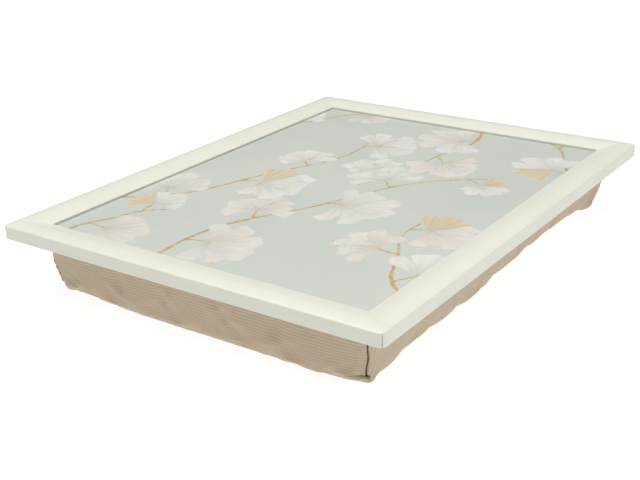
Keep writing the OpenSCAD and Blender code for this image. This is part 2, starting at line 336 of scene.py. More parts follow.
class Finish(Net):
    """A new material's net, with its Principled shader's inputs, where uniform numbers are set by name, and
    its place on the piece in Object coordinates."""

    def __init__(self, name, roughness, **uniform):
        self.material = bpy.data.materials.new(name)
        self.material.use_nodes = True
        super().__init__(self.material.node_tree)
        self.inputs = self.tree.nodes["Principled BSDF"].inputs
        self.inputs["Roughness"].default_value = roughness
        for key, value in uniform.items():
            self.inputs[key.replace("_", " ")].default_value = value
        self.place = self.add("TexCoord").outputs["Object"]

    def mottle(self, cloud_scale, streak_scale, stretch=(1.0, 1.0, 1.0)):
        """The mottle group's clouds and streaks."""
        ins = {"Vector": self.place, "Cloud Scale": cloud_scale, "Stretch": stretch,
               "Streak Scale": streak_scale}
        return self.add("Group", ins, node_tree=shared("mottle", mottle_group)).outputs

    def cloth(self, vector, rib_pitch, thread_pitch):
        """The cloth group's ribs and threads."""
        ins = {"Vector": vector, "Rib Pitch": rib_pitch, "Thread Pitch": thread_pitch}
        return self.add("Group", ins, node_tree=shared("cloth", cloth_group)).outputs

    def cells(self, size, randomness):
        """The distance from the middle of round cells of this size, as a share of it."""
        ins = {"Vector": self.place, "Scale": 1 / size, "Randomness": randomness}
        return self.add("TexVoronoi", ins).outputs["Distance"]

    def done(self, base, height=None, depth=0.0, rough=None):
        """Feeds the shader its colour, its bump of this depth and, where it varies, its roughness."""
        self.feed(self.inputs["Base Color"], base)
        if height is not None:
            bump = self.add("Bump", {"Height": height, "Distance": depth})
            self.feed(self.inputs["Normal"], bump.outputs[0])
        if rough is not None:
            self.feed(self.inputs["Roughness"], rough)
        return self.material


def shared(name, build):
    return bpy.data.node_groups.get(name) or build()


def group_net(name, inputs, outputs):
    """An empty node group with these named sockets: its net, what it is given and what it puts out."""
    tree = bpy.data.node_groups.new(name, "ShaderNodeTree")
    for label, (kind, default) in inputs.items():
        socket = tree.interface.new_socket(label, in_out="INPUT", socket_type="NodeSocket" + kind)
        socket.default_value = default
    for label in outputs:
        tree.interface.new_socket(label, in_out="OUTPUT", socket_type="NodeSocketFloat")
    start = tree.nodes.new("NodeGroupInput")
    end = tree.nodes.new("NodeGroupOutput")
    start.location, end.location = (-260, 0), (2800, 0)
    return Net(tree), start.outputs, end.inputs


def mottle_group():
    """Uneven colour at two scales: broad clouds, and streaks drawn out by the Stretch vector."""
    net, given, made = group_net(
        "mottle",
        {"Vector": ("Vector", (0, 0, 0)), "Cloud Scale": ("Float", 12.0), "Stretch": ("Vector", (1, 1, 1)),
         "Streak Scale": ("Float", 400.0)},
        ("Clouds", "Streaks"))
    clouds = net.noise(given["Vector"], given["Cloud Scale"], 4.0, 0.55)
    drawn = net.add("VectorMath", {0: given["Vector"], 1: given["Stretch"]}, operation="MULTIPLY")
    streaks = net.noise(drawn.outputs[0], given["Streak Scale"], 3.0, 0.6)
    net.feed(made["Clouds"], net.step(clouds, 0.3, 0.7))
    net.feed(made["Streaks"], net.step(streaks, 0.3, 0.7))
    return net.tree


def cloth_group():
    """Threads over and under: two crossed sines of the thread pitch, and ribs across the first coordinate."""
    net, given, made = group_net(
        "cloth",
        {"Vector": ("Vector", (0, 0, 0)), "Rib Pitch": ("Float", 2 * MM),
         "Thread Pitch": ("Float", 0.4 * MM)},
        ("Rib", "Thread"))
    across, along, _ = net.parts(given["Vector"])
    wander = net.times(net.noise(given["Vector"], 40.0, 2.0), 0.6)
    turn = net.math("ADD", net.math("DIVIDE", across, given["Rib Pitch"]), wander)
    rib = net.math("MULTIPLY_ADD", net.wave(turn, 1.0), 0.5, 0.5)
    net.feed(made["Rib"], net.math("POWER", rib, 0.6))
    crossed = net.times(net.wave(across, given["Thread Pitch"]), net.wave(along, given["Thread Pitch"]))
    net.feed(made["Thread"], net.math("MULTIPLY_ADD", crossed, 0.5, 0.5))
    return net.tree


def darker(tone, share):
    return tuple(share * part for part in tone)


def paint_material(name, props, along_x):
    """Satin paint with faint brush strokes along the rail and the mitres' open line."""
    net = Finish(name, props.roughness, Coat_Weight=0.12, Coat_Roughness=0.25)
    drawn_out = props.brush_width / props.brush_length
    stretch = (drawn_out, 1.0, 1.0) if along_x else (1.0, drawn_out, 1.0)
    clouds, streaks = net.mottle(16.0, 1.0 / props.brush_width, stretch)
    base = net.tinge(clouds, 0.55, props.ivory, props.shade)
    base = net.tinge(streaks, 0.22, base, props.shade)
    # A mitre lies where both distances from the outer edges are the same
    x, y, z = net.parts(net.place)
    from_x = net.math("SUBTRACT", TRAY_HALF.x, net.math("ABSOLUTE", x))
    from_y = net.math("SUBTRACT", TRAY_HALF.y, net.math("ABSOLUTE", y))
    off = net.math("ABSOLUTE", net.math("SUBTRACT", from_x, from_y))
    line = net.step(off, props.line_width * 0.5, props.line_width * 1.6, 1.0, 0.0)
    # The line is open at the outer sides and underneath, and filled with paint on the face
    reach = net.step(z, RAIL_HI.z - 2.6 * MM, RAIL_HI.z - 1.2 * MM, 0.85, 0.07)
    outer = net.step(from_x, 8 * MM, 12 * MM, 1.0, 0.0)
    under = net.step(z, RAIL_LO.z + 0.5 * MM, RAIL_LO.z + 1.5 * MM, 1.0, 0.0)
    reach = net.times(reach, net.math("MAXIMUM", outer, under))
    broken = net.step(net.noise(net.place, 260.0), 0.25, 0.6, 0.45, 1.0)
    line = net.times(line, net.times(reach, broken))
    grain = net.times(net.noise(net.place, 900.0), 0.25)
    height = net.math("MULTIPLY_ADD", streaks, 0.5, grain)
    height = net.math("SUBTRACT", height, net.times(line, 3.0))
    rough = net.math("MULTIPLY_ADD", streaks, 0.1, props.roughness - 0.05)
    return net.done(net.blend(line, base, props.line), height, 0.06 * MM, rough)


def print_material(props):
    """The printed design: its masks come with the mesh and get ragged, brushed edges here."""
    net = Finish("print_sheet", props.roughness, Coat_Weight=0.1, Coat_Roughness=0.3)
    place = net.place
    clouds, streaks = net.mottle(9.0, 150.0, (0.35, 1.0, 1.0))
    base = net.blend(clouds, props.ground, props.ground_warm)
    washed = net.step(net.noise(place, 5.0, 2.0), 0.45, 0.75)
    base = net.tinge(washed, 0.7, base, props.ground_cool)
    base = net.tinge(streaks, 0.25, base, props.ground)
    # A mask is how deep a point lies inside the painted shape, in metres
    ragged = net.math("MULTIPLY_ADD", net.noise(place, 420.0), 1.6 * MM, -0.8 * MM)
    twig = net.math("ADD", net.attribute("twig_in"), ragged)
    leaf = net.math("ADD", net.attribute("leaf_in"), net.times(ragged, 0.6))
    accent = net.math("ADD", net.attribute("accent_in"), ragged)
    metal = net.blend(net.step(net.noise(place, 300.0), 0.35, 0.65), props.gold, props.gold_deep)
    opaque = net.step(streaks, 0.0, 0.5, 0.62, 0.95)
    base = net.tinge(net.step(twig, -0.2 * MM, 0.35 * MM), opaque, base, metal)
    tint = net.tinge(streaks, 0.16, net.attribute("leaf_tint", "Color"), props.white)
    covered = net.step(net.noise(place, 34.0), 0.35, 0.7, 0.97, 0.72)
    base = net.tinge(net.step(leaf, -0.35 * MM, 0.35 * MM), covered, base, tint)
    base = net.tinge(net.step(accent, -0.15 * MM, 0.5 * MM), 0.85, base, metal)
    # Painted shade: a dark line where shade falls in the open gap between the sheet and the lips, a little
    # uneven
    x, y, _ = net.parts(place)
    lip_shade_x = net.math("SUBTRACT", net.math("ABSOLUTE", x), LIP_EDGE.x - props.lip_shade_width)
    lip_shade_y = net.math("SUBTRACT", net.math("ABSOLUTE", y), LIP_EDGE.y - props.lip_shade_width)
    off = net.math("MULTIPLY_ADD", net.noise(place, 60.0), 0.5 * MM, net.math("MAXIMUM", lip_shade_x, lip_shade_y))
    base = net.blend(net.step(off, 0.0, 0.35 * MM, 0.0, 0.9), base, props.lip_shade_colour)
    rough = net.math("MULTIPLY_ADD", clouds, 0.08, props.roughness - 0.04)
    return net.done(base, net.noise(place, 700.0), 0.012 * MM, rough)


def ribbed_material(props):
    """Ribbed taupe cloth: ribs and threads follow the sheet that the cover is cut from."""
    net = Finish("ribbed_cover", 0.9, Sheen_Weight=0.12, Sheen_Roughness=0.5, Specular_IOR_Level=0.2)
    sheet = net.add("UVMap", uv_map="sheet").outputs[0]
    rib, thread = net.cloth(sheet, props.rib_pitch, props.thread_pitch)
    clouds, streaks = net.mottle(22.0, 700.0)
    # Painted shade: the cloth is darker between the ribs, in the grooves
    base = net.blend(rib, props.groove, props.taupe)
    base = net.tinge(clouds, 0.18, base, props.groove)
    base = net.tinge(streaks, 0.14, base, props.groove)
    # Painted shade: darker deep in the corner seams and under their tucks
    base = net.blend(net.attribute("fold_in"), base, props.seam_shade)
    height = net.math("MULTIPLY_ADD", thread, 0.14, rib)
    height = net.math("MULTIPLY_ADD", streaks, 0.12, height)
    return net.done(base, height, props.rib_depth)


def plain_cloth_material(name, tone, pitch, fuzz):
    """Plain woven cloth or fuzzy loops on Object coordinates."""
    net = Finish(name, 0.92, Sheen_Weight=0.2, Sheen_Roughness=0.5, Specular_IOR_Level=0.2)
    _, thread = net.cloth(net.place, pitch * 4, pitch)
    clouds, streaks = net.mottle(30.0, 1400.0)
    base = net.tinge(clouds, 0.4, tone, darker(tone, 0.72))
    height = net.math("MULTIPLY_ADD", streaks, fuzz, net.times(thread, 1.0 - fuzz))
    # Painted shade: darker where the threads and loops lie low
    base = net.tinge(net.step(height, 0.1, 0.9, 1.0, 0.0), 0.45, base, darker(tone, 0.72))
    return net.done(base, height, (0.15 + 0.5 * fuzz) * MM)


def hook_material(props):
    """Rows of small stiff hooks on a tape: rounded dots 1.5 mm apart."""
    net = Finish("hook_tape", 0.55, Specular_IOR_Level=0.4)
    hook = net.step(net.cells(1.5 * MM, 0.12), 0.12, 0.42, 1.0, 0.0)
    # Painted shade: the tape is darker between the raised hooks
    return net.done(net.blend(hook, darker(props.tape, 0.6), props.tape), hook, 0.6 * MM)


def board_material(props):
    """Hardboard: brown fibres, with the pressed grid of its rough back, 1.3 mm apart."""
    net = Finish("hardboard", 0.8, Specular_IOR_Level=0.3)
    clouds, streaks = net.mottle(18.0, 600.0, (1.0, 0.3, 1.0))
    base = net.tinge(clouds, 0.5, props.board, props.board_dark)
    base = net.tinge(streaks, 0.45, base, props.board_dark)
    x, y, _ = net.parts(net.place)
    grid = net.times(net.wave(x, 1.3 * MM), net.wave(y, 1.3 * MM))
    # Painted shade: darker in the hollows of the pressed grid
    base = net.blend(net.step(grid, -1.0, 1.0, 0.25, 0.0), base, props.board_dark)
    return net.done(base, net.math("MULTIPLY_ADD", grid, 0.3, streaks), 0.15 * MM)


def steel_material(props):
    """Cut steel strip with fine drawn lines and a few darker patches."""
    net = Finish("cut_steel", 0.38, Metallic=1.0)
    clouds, streaks = net.mottle(160.0, 2600.0, (0.08, 1.0, 1.0))
    base = net.tinge(clouds, 0.5, props.steel, darker(props.steel, 0.55))
    return net.done(base, streaks, 0.02 * MM, net.math("MULTIPLY_ADD", streaks, 0.2, 0.28))


def bead_material():
    """Packed polystyrene beads: round white cells about 4 mm across."""
    net = Finish("foam_beads", 0.75, Specular_IOR_Level=0.35)
    cells = net.cells(4 * MM, 0.6)
    # Painted shade: darker in the gaps between the beads
    base = net.blend(net.step(cells, 0.35, 0.62), linear(246, 246, 243), linear(176, 175, 168))
    return net.done(base, net.step(cells, 0.1, 0.6, 1.0, 0.0), 1.2 * MM)


def thread_material(props):
    """Sewing thread: fine slanted twist."""
    net = Finish("sewing_thread", 0.7, Sheen_Weight=0.2)
    x, y, z = net.parts(net.place)
    slant = net.math("ADD", x, net.math("ADD", y, z))
    twist = net.math("MULTIPLY_ADD", net.wave(slant, 0.5 * MM), 0.5, 0.5)
    # Painted shade: darker in the grooves of the twist
    return net.done(net.blend(twist, darker(props.thread, 0.65), props.thread), twist, 0.1 * MM)


# Meshes


def mesh_object(name, points, faces, smooth=True):
    """A mesh from arrays: points (n, 3) and one or more arrays of equal-sided faces."""
    mesh = bpy.data.meshes.new(name)
    groups = [np.asarray(group, dtype=np.int32) for group in faces if len(group)]
    loops = np.concatenate([group.ravel() for group in groups])
    totals = np.concatenate([np.full(len(group), group.shape[1], np.int32) for group in groups])
    starts = np.concatenate([[0], np.cumsum(totals)[:-1]]).astype(np.int32)
    mesh.vertices.add(len(points))
    mesh.vertices.foreach_set("co", np.asarray(points, np.float32).ravel())
    mesh.loops.add(len(loops))
    mesh.loops.foreach_set("vertex_index", loops)
    mesh.polygons.add(len(totals))
    mesh.polygons.foreach_set("loop_start", starts)
    mesh.polygons.foreach_set("loop_total", totals)
    mesh.polygons.foreach_set("use_smooth", np.full(len(totals), smooth))
    mesh.update(calc_edges=True)
    mesh.validate()
    obj = bpy.data.objects.new(name, mesh)
    bpy.context.scene.collection.objects.link(obj)
    return obj


def add_values(obj, name, values):
    """A number on every vertex."""
    layer = obj.data.attributes.new(name, "FLOAT", "POINT")
    layer.data.foreach_set("value", np.asarray(values, np.float32).ravel())


def add_tints(obj, name, values):
    """A colour on every vertex."""
    layer = obj.data.attributes.new(name, "FLOAT_COLOR", "POINT")
    rgba = np.concatenate([values, np.ones((len(values), 1))], axis=1)
    layer.data.foreach_set("color", rgba.astype(np.float32).ravel())


def mesh_points(mesh):
    """A mesh's points as rows of an array."""
    values = np.empty(len(mesh.vertices) * 3, np.float32)
    mesh.vertices.foreach_get("co", values)
    return values.reshape(-1, 3)


def dress(obj, material, body):
    obj.data.materials.clear()
    obj.data.materials.append(material)
    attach(obj, body)


def dress_node(node, material):
    """A carried-over node keeps its mesh and gets a finished material."""
    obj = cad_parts[node]
    if not obj.material_slots:
        obj.data.materials.append(material)
    for holder in obj.material_slots:
        holder.material = material
    return obj


def grid_faces(rows, columns, closed, first=0):
    """Quads of a grid of points that stand row by row; a closed grid joins its last column to its first."""
    row = np.arange(rows - 1)[:, None]
    column = np.arange(columns if closed else columns - 1)[None, :]
    after = (column + 1) % columns
    corners = (row * columns + column, (row + 1) * columns + column,
               (row + 1) * columns + after, row * columns + after)
    return np.stack(np.broadcast_arrays(*corners), axis=-1).reshape(-1, 4) + first


def band(ring, other):
    """Quads from one closed ring of points to another one."""
    return np.stack([ring, np.roll(ring, -1), np.roll(other, -1), other], axis=1)


def fan(ring, centre, up=False):
    """Triangles from a closed ring of points to its centre point, seen from below or from above."""
    after = np.roll(ring, -1)
    first, last = (after, ring) if up else (ring, after)
    return np.stack([first, np.full(len(ring), centre), last], axis=1)


def bell(off, width):
    """A bell curve: e to the power of minus the square of off over width."""
    return np.exp(-(off / width) ** 2)


def ramp(value, start, run):
    """A straight ramp: 0 up to the start and 1 from a run past it."""
    return np.clip((value - start) / run, 0, 1)


def waves(x, y, seed, count, shortest, longest):
    """Smooth uneven ground, mostly between -1 and 1: a sum of sines with seeded directions and lengths, which
    are in millimetres."""
    rng = np.random.default_rng(seed)
    total = np.zeros(np.broadcast(x, y).shape)
    for _ in range(count):
        heading, phase = rng.uniform(0, math.tau, 2)
        size = math.tau / (rng.uniform(shortest, longest) * MM)
        total += np.sin(size * (x * math.cos(heading) + y * math.sin(heading)) + phase)
    return total / math.sqrt(count) / 1.6


# The printed design


def curve_points(start, stop, bow, count=60):
    """A twig's middle line: straight from end to end, bowed sideways by a half sine and a weaker, threefold
    one."""
    share = np.linspace(0, 1, count)[:, None]
    side = np.array([start[1] - stop[1], stop[0] - start[0]]) / np.linalg.norm(stop - start)
    off = bow * (np.sin(math.pi * share) + 0.22 * np.sin(3 * math.pi * share))
    return start + share * (stop - start) + off * side


def stroke_depth(x, y, line, widths):
    """How deep a point lies inside a brush stroke: half its width less the distance to its middle line."""
    depth = np.full(x.shape, -1.0)
    for a, b, width in zip(line[:-1], line[1:], widths):
        run = b - a
        share = np.clip(((x - a[0]) * run[0] + (y - a[1]) * run[1]) / (run @ run), 0, 1)
        gap = np.hypot(x - a[0] - share * run[0], y - a[1] - share * run[1])
        depth = np.maximum(depth, width / 2 - gap)
    return depth


def fan_leaf(x, y, foot, heading, reach, spread, seed):
    """A fan leaf from its foot: a wavy arc for its rim, split at the middle and drawn in towards its flanks,
    which curve in to the foot. Returns the depth inside the leaf, the share of the way from foot to rim, and
    the turn from its middle."""
    rng = np.random.default_rng(seed)
    far = np.hypot(x - foot[0], y - foot[1]) + 1e-9
    turn = (np.arctan2(y - foot[1], x - foot[0]) - heading + math.pi) % math.tau - math.pi
    *phases, split = rng.uniform(0, math.tau, 4)
    lobes = sum(size * np.sin(count * turn + phase) for (count, size), phase in zip(RIM_WAVES, phases))
    rim = reach * (0.9 + lobes)
    rim *= 1 - 0.3 * bell(turn, SPLIT_WIDTH) * (0.6 + 0.4 * math.sin(split))
    rim *= 1 - 0.16 * (turn / spread) ** 4
    flank = spread * np.clip(far / reach, 0, 1) ** 0.32
    depth = np.minimum(rim - far, (flank - np.abs(turn)) * far)
    return depth, far / rim, turn


def leaf_body(props, x, y, leaf):
    """A leaf's depth and paint: washes of white, blush and grey along its veins, and gold at its foot."""
    foot, heading, reach, spread, seed, rosy, gilded = leaf
    white, blush, grey, gold = (np.array(part) for part in (props.white, props.blush, props.grey, props.gold))
    depth, out, turn = fan_leaf(x, y, foot, heading, reach, spread, seed)
    rng = np.random.default_rng(seed + 1)
    brush = waves(x, y, seed, 5, 10, 34)
    veins = 0.5 + 0.5 * np.sin(turn * rng.uniform(17, 24) + 1.4 * brush)
    inner = np.clip(1.15 - 1.3 * out, 0, 1)
    flushed = np.clip(rosy * (0.55 + 0.35 * brush + 0.4 * inner), 0, 1)
    body = white + flushed[..., None] * (blush - white)
    shaded = 0.5 * veins * (0.15 + inner) + 0.35 * np.clip(-brush - 0.2, 0, 1) + 0.3 * inner ** 2
    body = body + np.clip(shaded, 0, 0.75)[..., None] * (grey - body)
    gild = np.clip(1.1 - 7.0 * out + 0.3 * veins, 0, 0.8)
    if gilded:
        gild = np.clip(0.62 + 0.3 * veins - 0.25 * np.clip(out - 0.6, 0, 1), 0, 1)
    return depth, out, body + gild[..., None] * (gold - body)


def tuft_leaves(props, rng, foot, heading, size, gilded):
    """The leaves that fan out round one foot, each as leaf_body takes it."""
    rosy = rng.choice([0.2, 0.5, 1.0])
    return [
        (foot, heading + turn + rng.uniform(-0.12, 0.12), props.leaf_reach * size * share,
         rng.uniform(0.5, 0.72), rng.integers(1e6), rosy * rng.uniform(0.5, 1.0), gilded and turn > 0.5)
        for turn, share in TUFT]


def design(props, x, y):
    """The whole print on the sheet's points: the depth inside twigs, leaves and gold accents, and the leaves'
    tint."""
    half = np.array(PRINT_HI[:2])
    rng = np.random.default_rng(props.layout)
    twig_in, leaf_in, accent_in = np.full((3, *x.shape), -1.0)
    tint = np.zeros((*x.shape, 3)) + np.array(props.white)
    leaves = []
    for number, (start, stop, bow, sizes) in enumerate(TWIGS):
        line = curve_points(start * half, stop * half, bow * MM)
        swelling = 1 + 0.18 * np.sin(0.9 * np.arange(len(line)))
        widths = props.twig_width * np.linspace(1.0, 0.5, len(line)) * swelling
        twig_in = np.maximum(twig_in, stroke_depth(x, y, line, widths))
        for k, size in enumerate(sizes):
            step = int((k + 0.6) / len(sizes) * len(line))
            at, run = line[step], line[step + 1] - line[step]
            side = 1 if (k + number) % 2 else -1
            heading = math.atan2(run[1], run[0]) + side * rng.uniform(0.8, 1.3)
            toward = np.array([math.cos(heading), math.sin(heading)])
            foot = at + rng.uniform(*STALK_LENGTHS) * toward
            stalk = curve_points(at, foot + STALK_END * toward, STALK_BOW, len(STALK_WIDTHS) + 1)
            twig_in = np.maximum(twig_in, stroke_depth(x, y, stalk, STALK_WIDTHS))
            leaves += tuft_leaves(props, rng, foot, heading, size, (number + 2 * k) % 5 == 3)
    for number, leaf in enumerate(leaves):
        depth, out, body = leaf_body(props, x, y, leaf)
        # The leaf below falls into shade along this leaf's edge
        shade = 0.4 * np.exp(-np.clip(-depth, 0, None) / EDGE_SHADE) * (depth < 0)
        tint = tint + shade[..., None] * (np.array(props.grey) * 0.94 - tint)
        inside = depth > 0
        tint = np.where(inside[..., None], body, tint)
        twig_in = np.where(inside & (out > 0.3), -1.0, twig_in)
        leaf_in = np.maximum(leaf_in, depth)
        accent_in = np.where(inside, -1.0, accent_in)
        if number % 7 == 2:
            # Every seventh leaf has a broken gold line just inside its edge
            worn = 0.9 * MM * np.clip(waves(x, y, number, 5, 10, 30), 0, 1)
            accent_in = np.where(inside, 0.8 * MM - np.abs(depth - 1.2 * MM) - worn, accent_in)
    return twig_in, leaf_in, accent_in, tint


def print_sheet(props):
    """The printed sheet: a fine grid on top, and walls and an underside that close it."""
    lo, hi = PRINT_LO, PRINT_HI
    columns = int(round((hi.x - lo.x) / props.pitch)) + 1
    rows = int(round((hi.y - lo.y) / props.pitch)) + 1
    y, x = np.meshgrid(np.linspace(lo.y, hi.y, rows), np.linspace(lo.x, hi.x, columns), indexing="ij")
    top = np.stack([x, y, np.full(x.shape, hi.z)], axis=-1).reshape(-1, 3)
    index = np.arange(rows * columns).reshape(rows, columns)
    edge = np.concatenate([index[0, :-1], index[:-1, -1], index[-1, :0:-1], index[:0:-1, 0]])
    below = top[edge] - np.array([0, 0, hi.z - lo.z])
    low = len(top) + np.arange(len(edge))
    points = np.concatenate([top, below, [[(lo.x + hi.x) / 2, (lo.y + hi.y) / 2, lo.z]]])
    faces = grid_faces(rows, columns, False)[:, ::-1]
    walls = np.stack([edge, low, np.roll(low, -1), np.roll(edge, -1)], axis=1)
    obj = mesh_object("print_sheet", points, [faces, walls, fan(low, len(points) - 1)], smooth=False)
    *masks, tint = design(props, x, y)
    rest = len(points) - len(top)
    for name, values in zip(("twig_in", "leaf_in", "accent_in"), masks):
        add_values(obj, name, np.concatenate([values.ravel(), np.full(rest, -1.0)]))
    add_tints(obj, "leaf_tint", np.concatenate([tint.reshape(-1, 3), np.tile(props.white, (rest, 1))]))
    return obj


# The cushion


def columns_round(side_steps, corner_steps):
    """Places round the cushion's outline as (quarter, on the corner?, share), each corner before its side."""
    turns = np.arange(corner_steps) / corner_steps
    quarter, corner, share = [], [], []
    for q, along in enumerate(side_steps):
        quarter += [q] * (len(turns) + len(along))
        corner += [True] * len(turns) + [False] * len(along)
        share += [*turns, *along]
    return np.array(quarter), np.array(corner), np.array(share)


def even_places(long_steps, short_steps, corner_steps):
    """Places round the outline that are evenly spaced on each side and in each corner."""
    sides = (long_steps, short_steps, long_steps, short_steps)
    return columns_round([np.arange(count) / count for count in sides], corner_steps)


def outline(places, hw, hd, radius, swell):
    """The cushion's outline seen from above: a rounded rectangle whose sides bow out by a half sine.
    The sizes may be columns, one row each, and then so are the results."""
    quarter, corner, share = places
    hw, hd, radius, swell = (np.atleast_1d(part)[:, None] for part in (hw, hd, radius, swell))
    angle = math.pi / 2 * (quarter + np.where(corner, share, 1.0))
    turn_x, turn_y = np.cos(angle), np.sin(angle)

    def on_corner(number):
        sign_x = np.where((number == 0) | (number == 3), 1.0, -1.0)
        sign_y = np.where(number < 2, 1.0, -1.0)
        return sign_x * (hw - radius) + radius * turn_x, sign_y * (hd - radius) + radius * turn_y

    from_x, from_y = on_corner(quarter)
    to_x, to_y = on_corner((quarter + 1) % 4)
    along = np.where(corner, 0.0, share)
    bow = swell * np.sin(math.pi * along)
    return from_x + along * (to_x - from_x) + bow * turn_x, from_y + along * (to_y - from_y) + bow * turn_y


def levels_down(side_steps, roll_steps, foot_steps):
    """Rows from the top edge down: 0 to 1 is the side, 1 to 2 the roll and 2 to 3 the underside."""
    parts = enumerate((side_steps, roll_steps, foot_steps))
    return np.concatenate([first + np.arange(steps) / steps for first, steps in parts])


def cushion_surface(props, places, levels, smaller=0.0):
    """The cushion's skin on a grid of levels by places. The side's inset grows by the lean and shrinks by
    the belly's half sine; the roll is a quarter circle down to the flattened foot; the underside shrinks
    evenly towards its middle."""
    rim = CLOTH_LO.z
    roll_top = props.foot_roll - props.foot_flat
    side = np.clip(levels, 0, 1)
    roll_end = math.acos(roll_top / props.foot_roll)
    turned = np.clip(levels - 1, 0, 1) * (math.pi / 2 - roll_end)
    z = np.where(levels <= 1, rim + (roll_top - rim) * side, roll_top - props.foot_roll * np.sin(turned))
    z = np.where(levels >= 2, 0.0, np.maximum(z, 0.0))
    down = 1 - z / rim
    rolled = np.where(levels > 1, props.foot_roll * (1 - np.cos(turned)), 0.0)
    inset = rolled - props.belly * np.sin(math.pi * down)
    inset = inset + smaller * np.sin(math.pi / 2 * np.clip(levels * 3, 0, 1))
    hw = CLOTH_HI.x - inset - props.end_lean * down
    hd = CLOTH_HI.y - inset - props.lean * down
    radius = props.top_corner + (props.foot_corner - props.top_corner) * down
    swell = props.swell * np.sin(math.pi / 2 * np.minimum(1, 2 * down))
    x, y = outline(places, hw, hd, radius, swell)
    shrink = np.clip(3 - levels, 0.0, 1)[:, None]
    return np.stack([x * shrink, y * shrink, np.broadcast_to(z[:, None], x.shape)], axis=-1)


def simulate_swelling(props):
    """Lets the beads press the cover outwards: Cloth with pressure and a little spare cloth on a coarse skin
    whose top edge and underside are held. Returns how far out each point moved, and the skin's places and
    levels."""
    places = even_places(52, 38, 5)
    levels = levels_down(8, 6, 6)
    start = cushion_surface(props, places, levels, props.start_in)
    rows, columns = start.shape[:2]
    flat = start.reshape(-1, 3)
    held = np.repeat((levels == 0) | (levels >= 2), columns)
    obj = mesh_object("cover_sim", flat, [grid_faces(rows, columns, True)])
    pins = obj.vertex_groups.new(name="held")
    pins.add([int(i) for i in np.flatnonzero(held)], 1.0, "REPLACE")
    cloth = obj.modifiers.new("Cloth", "CLOTH").settings
    cloth.quality = 6
    cloth.mass = 0.25
    cloth.tension_stiffness = 18
    cloth.compression_stiffness = 18
    cloth.shear_stiffness = 6
    cloth.bending_stiffness = 0.6
    cloth.shrink_min = -props.spare_cloth
    cloth.use_pressure = True
    cloth.uniform_pressure_force = props.pressure
    cloth.vertex_group_mass = "held"
    cloth.effector_weights.gravity = 0
    scene = bpy.context.scene
    for number in range(1, SETTLING_FRAMES + 1):
        scene.frame_set(number)
    swollen = obj.evaluated_get(bpy.context.evaluated_depsgraph_get()).to_mesh()
    moved = mesh_points(swollen) - flat
    scene.frame_set(1)
    mesh = obj.data
    bpy.data.objects.remove(obj)
    bpy.data.meshes.remove(mesh)
    out = (moved.reshape(start.shape) * grid_normals(start)).sum(axis=-1)
    # Each row keeps its mean place, and its swells and hollows stay within the limit
    out -= out.mean(axis=1, keepdims=True)
    return props.travel * np.tanh(out / props.travel), places, levels


def place_round(places):
    """One number for a place round the outline: a fifth of each quarter is its corner, the rest its side."""
    quarter, corner, share = places
    return quarter + np.where(corner, 0.2 * share, 0.2 + 0.8 * share)


def uneven_fill(points, places, levels):
    """Pushes the lower half out and lifts the foot at the places of the uneven fill. Each is a full cosine
    wave that dies away at its reach, and where two meet they add up."""
    at, reach, out, off = np.array(UNEVEN_FILL).T[:, :, None]
    away = (place_round(places) - at + 2) % 4 - 2
    wave = 0.5 + 0.5 * np.cos(math.pi * np.clip(away / reach, -1, 1))
    push, lift = (out * wave).sum(axis=0) * MM, (off * wave).sum(axis=0) * MM
    pushed = np.sin(math.pi / 2 * ramp(levels, 0, 0.8)) * ramp(-levels, -2.1, 0.4)
    lifted = ramp(levels, 0.3, 1.2) * ramp(-levels, -2.25, 0.25)
    moved = points + (pushed[:, None] * push)[..., None] * grid_normals(points)
    moved[..., 2] += lifted[:, None] * lift
    return moved


def smooth_weights(at, knots, period=None):
    """Weights that carry values from knots to other places by Catmull-Rom, one row for each place."""
    count = len(knots)
    if period:
        knots = np.concatenate([knots, [knots[0] + period]])
    cell = np.clip(np.searchsorted(knots, at, side="right") - 1, 0, len(knots) - 2)
    t = np.clip((at - knots[cell]) / (knots[cell + 1] - knots[cell]), 0, 1)
    parts = (
        -0.5 * t + t ** 2 - 0.5 * t ** 3, 1 - 2.5 * t ** 2 + 1.5 * t ** 3,
        0.5 * t + 2 * t ** 2 - 1.5 * t ** 3, -0.5 * t ** 2 + 0.5 * t ** 3)
    weights = np.zeros((len(at), count))
    for shift, part in zip((-1, 0, 1, 2), parts):
        index = cell + shift
        index = index % count if period else np.clip(index, 0, count - 1)
        np.add.at(weights, (np.arange(len(at)), index), part)
    return weights


def graded(size):
    """Shares along a side that lie closer together near its end, where the next corner's seam is."""
    steps = np.linspace(0, size, 4000)
    spacing = SEAM_PITCH + (SIDE_PITCH - SEAM_PITCH) * np.clip((size - steps) / FINE_REACH, 0, 1)
    count = np.concatenate([[0], np.cumsum(np.diff(steps) / spacing[:-1])])
    whole = int(math.ceil(count[-1]))
    return np.interp(np.arange(whole) * count[-1] / whole, count, steps) / size


def grid_normals(points):
    """Outward normals of a closed grid: the cross product of its steps down and its steps round."""
    down = np.gradient(points, axis=0)
    around = np.roll(points, -1, axis=1) - np.roll(points, 1, axis=1)
    normal = np.cross(down, around)
    return normal / (np.linalg.norm(normal, axis=-1, keepdims=True) + 1e-12)


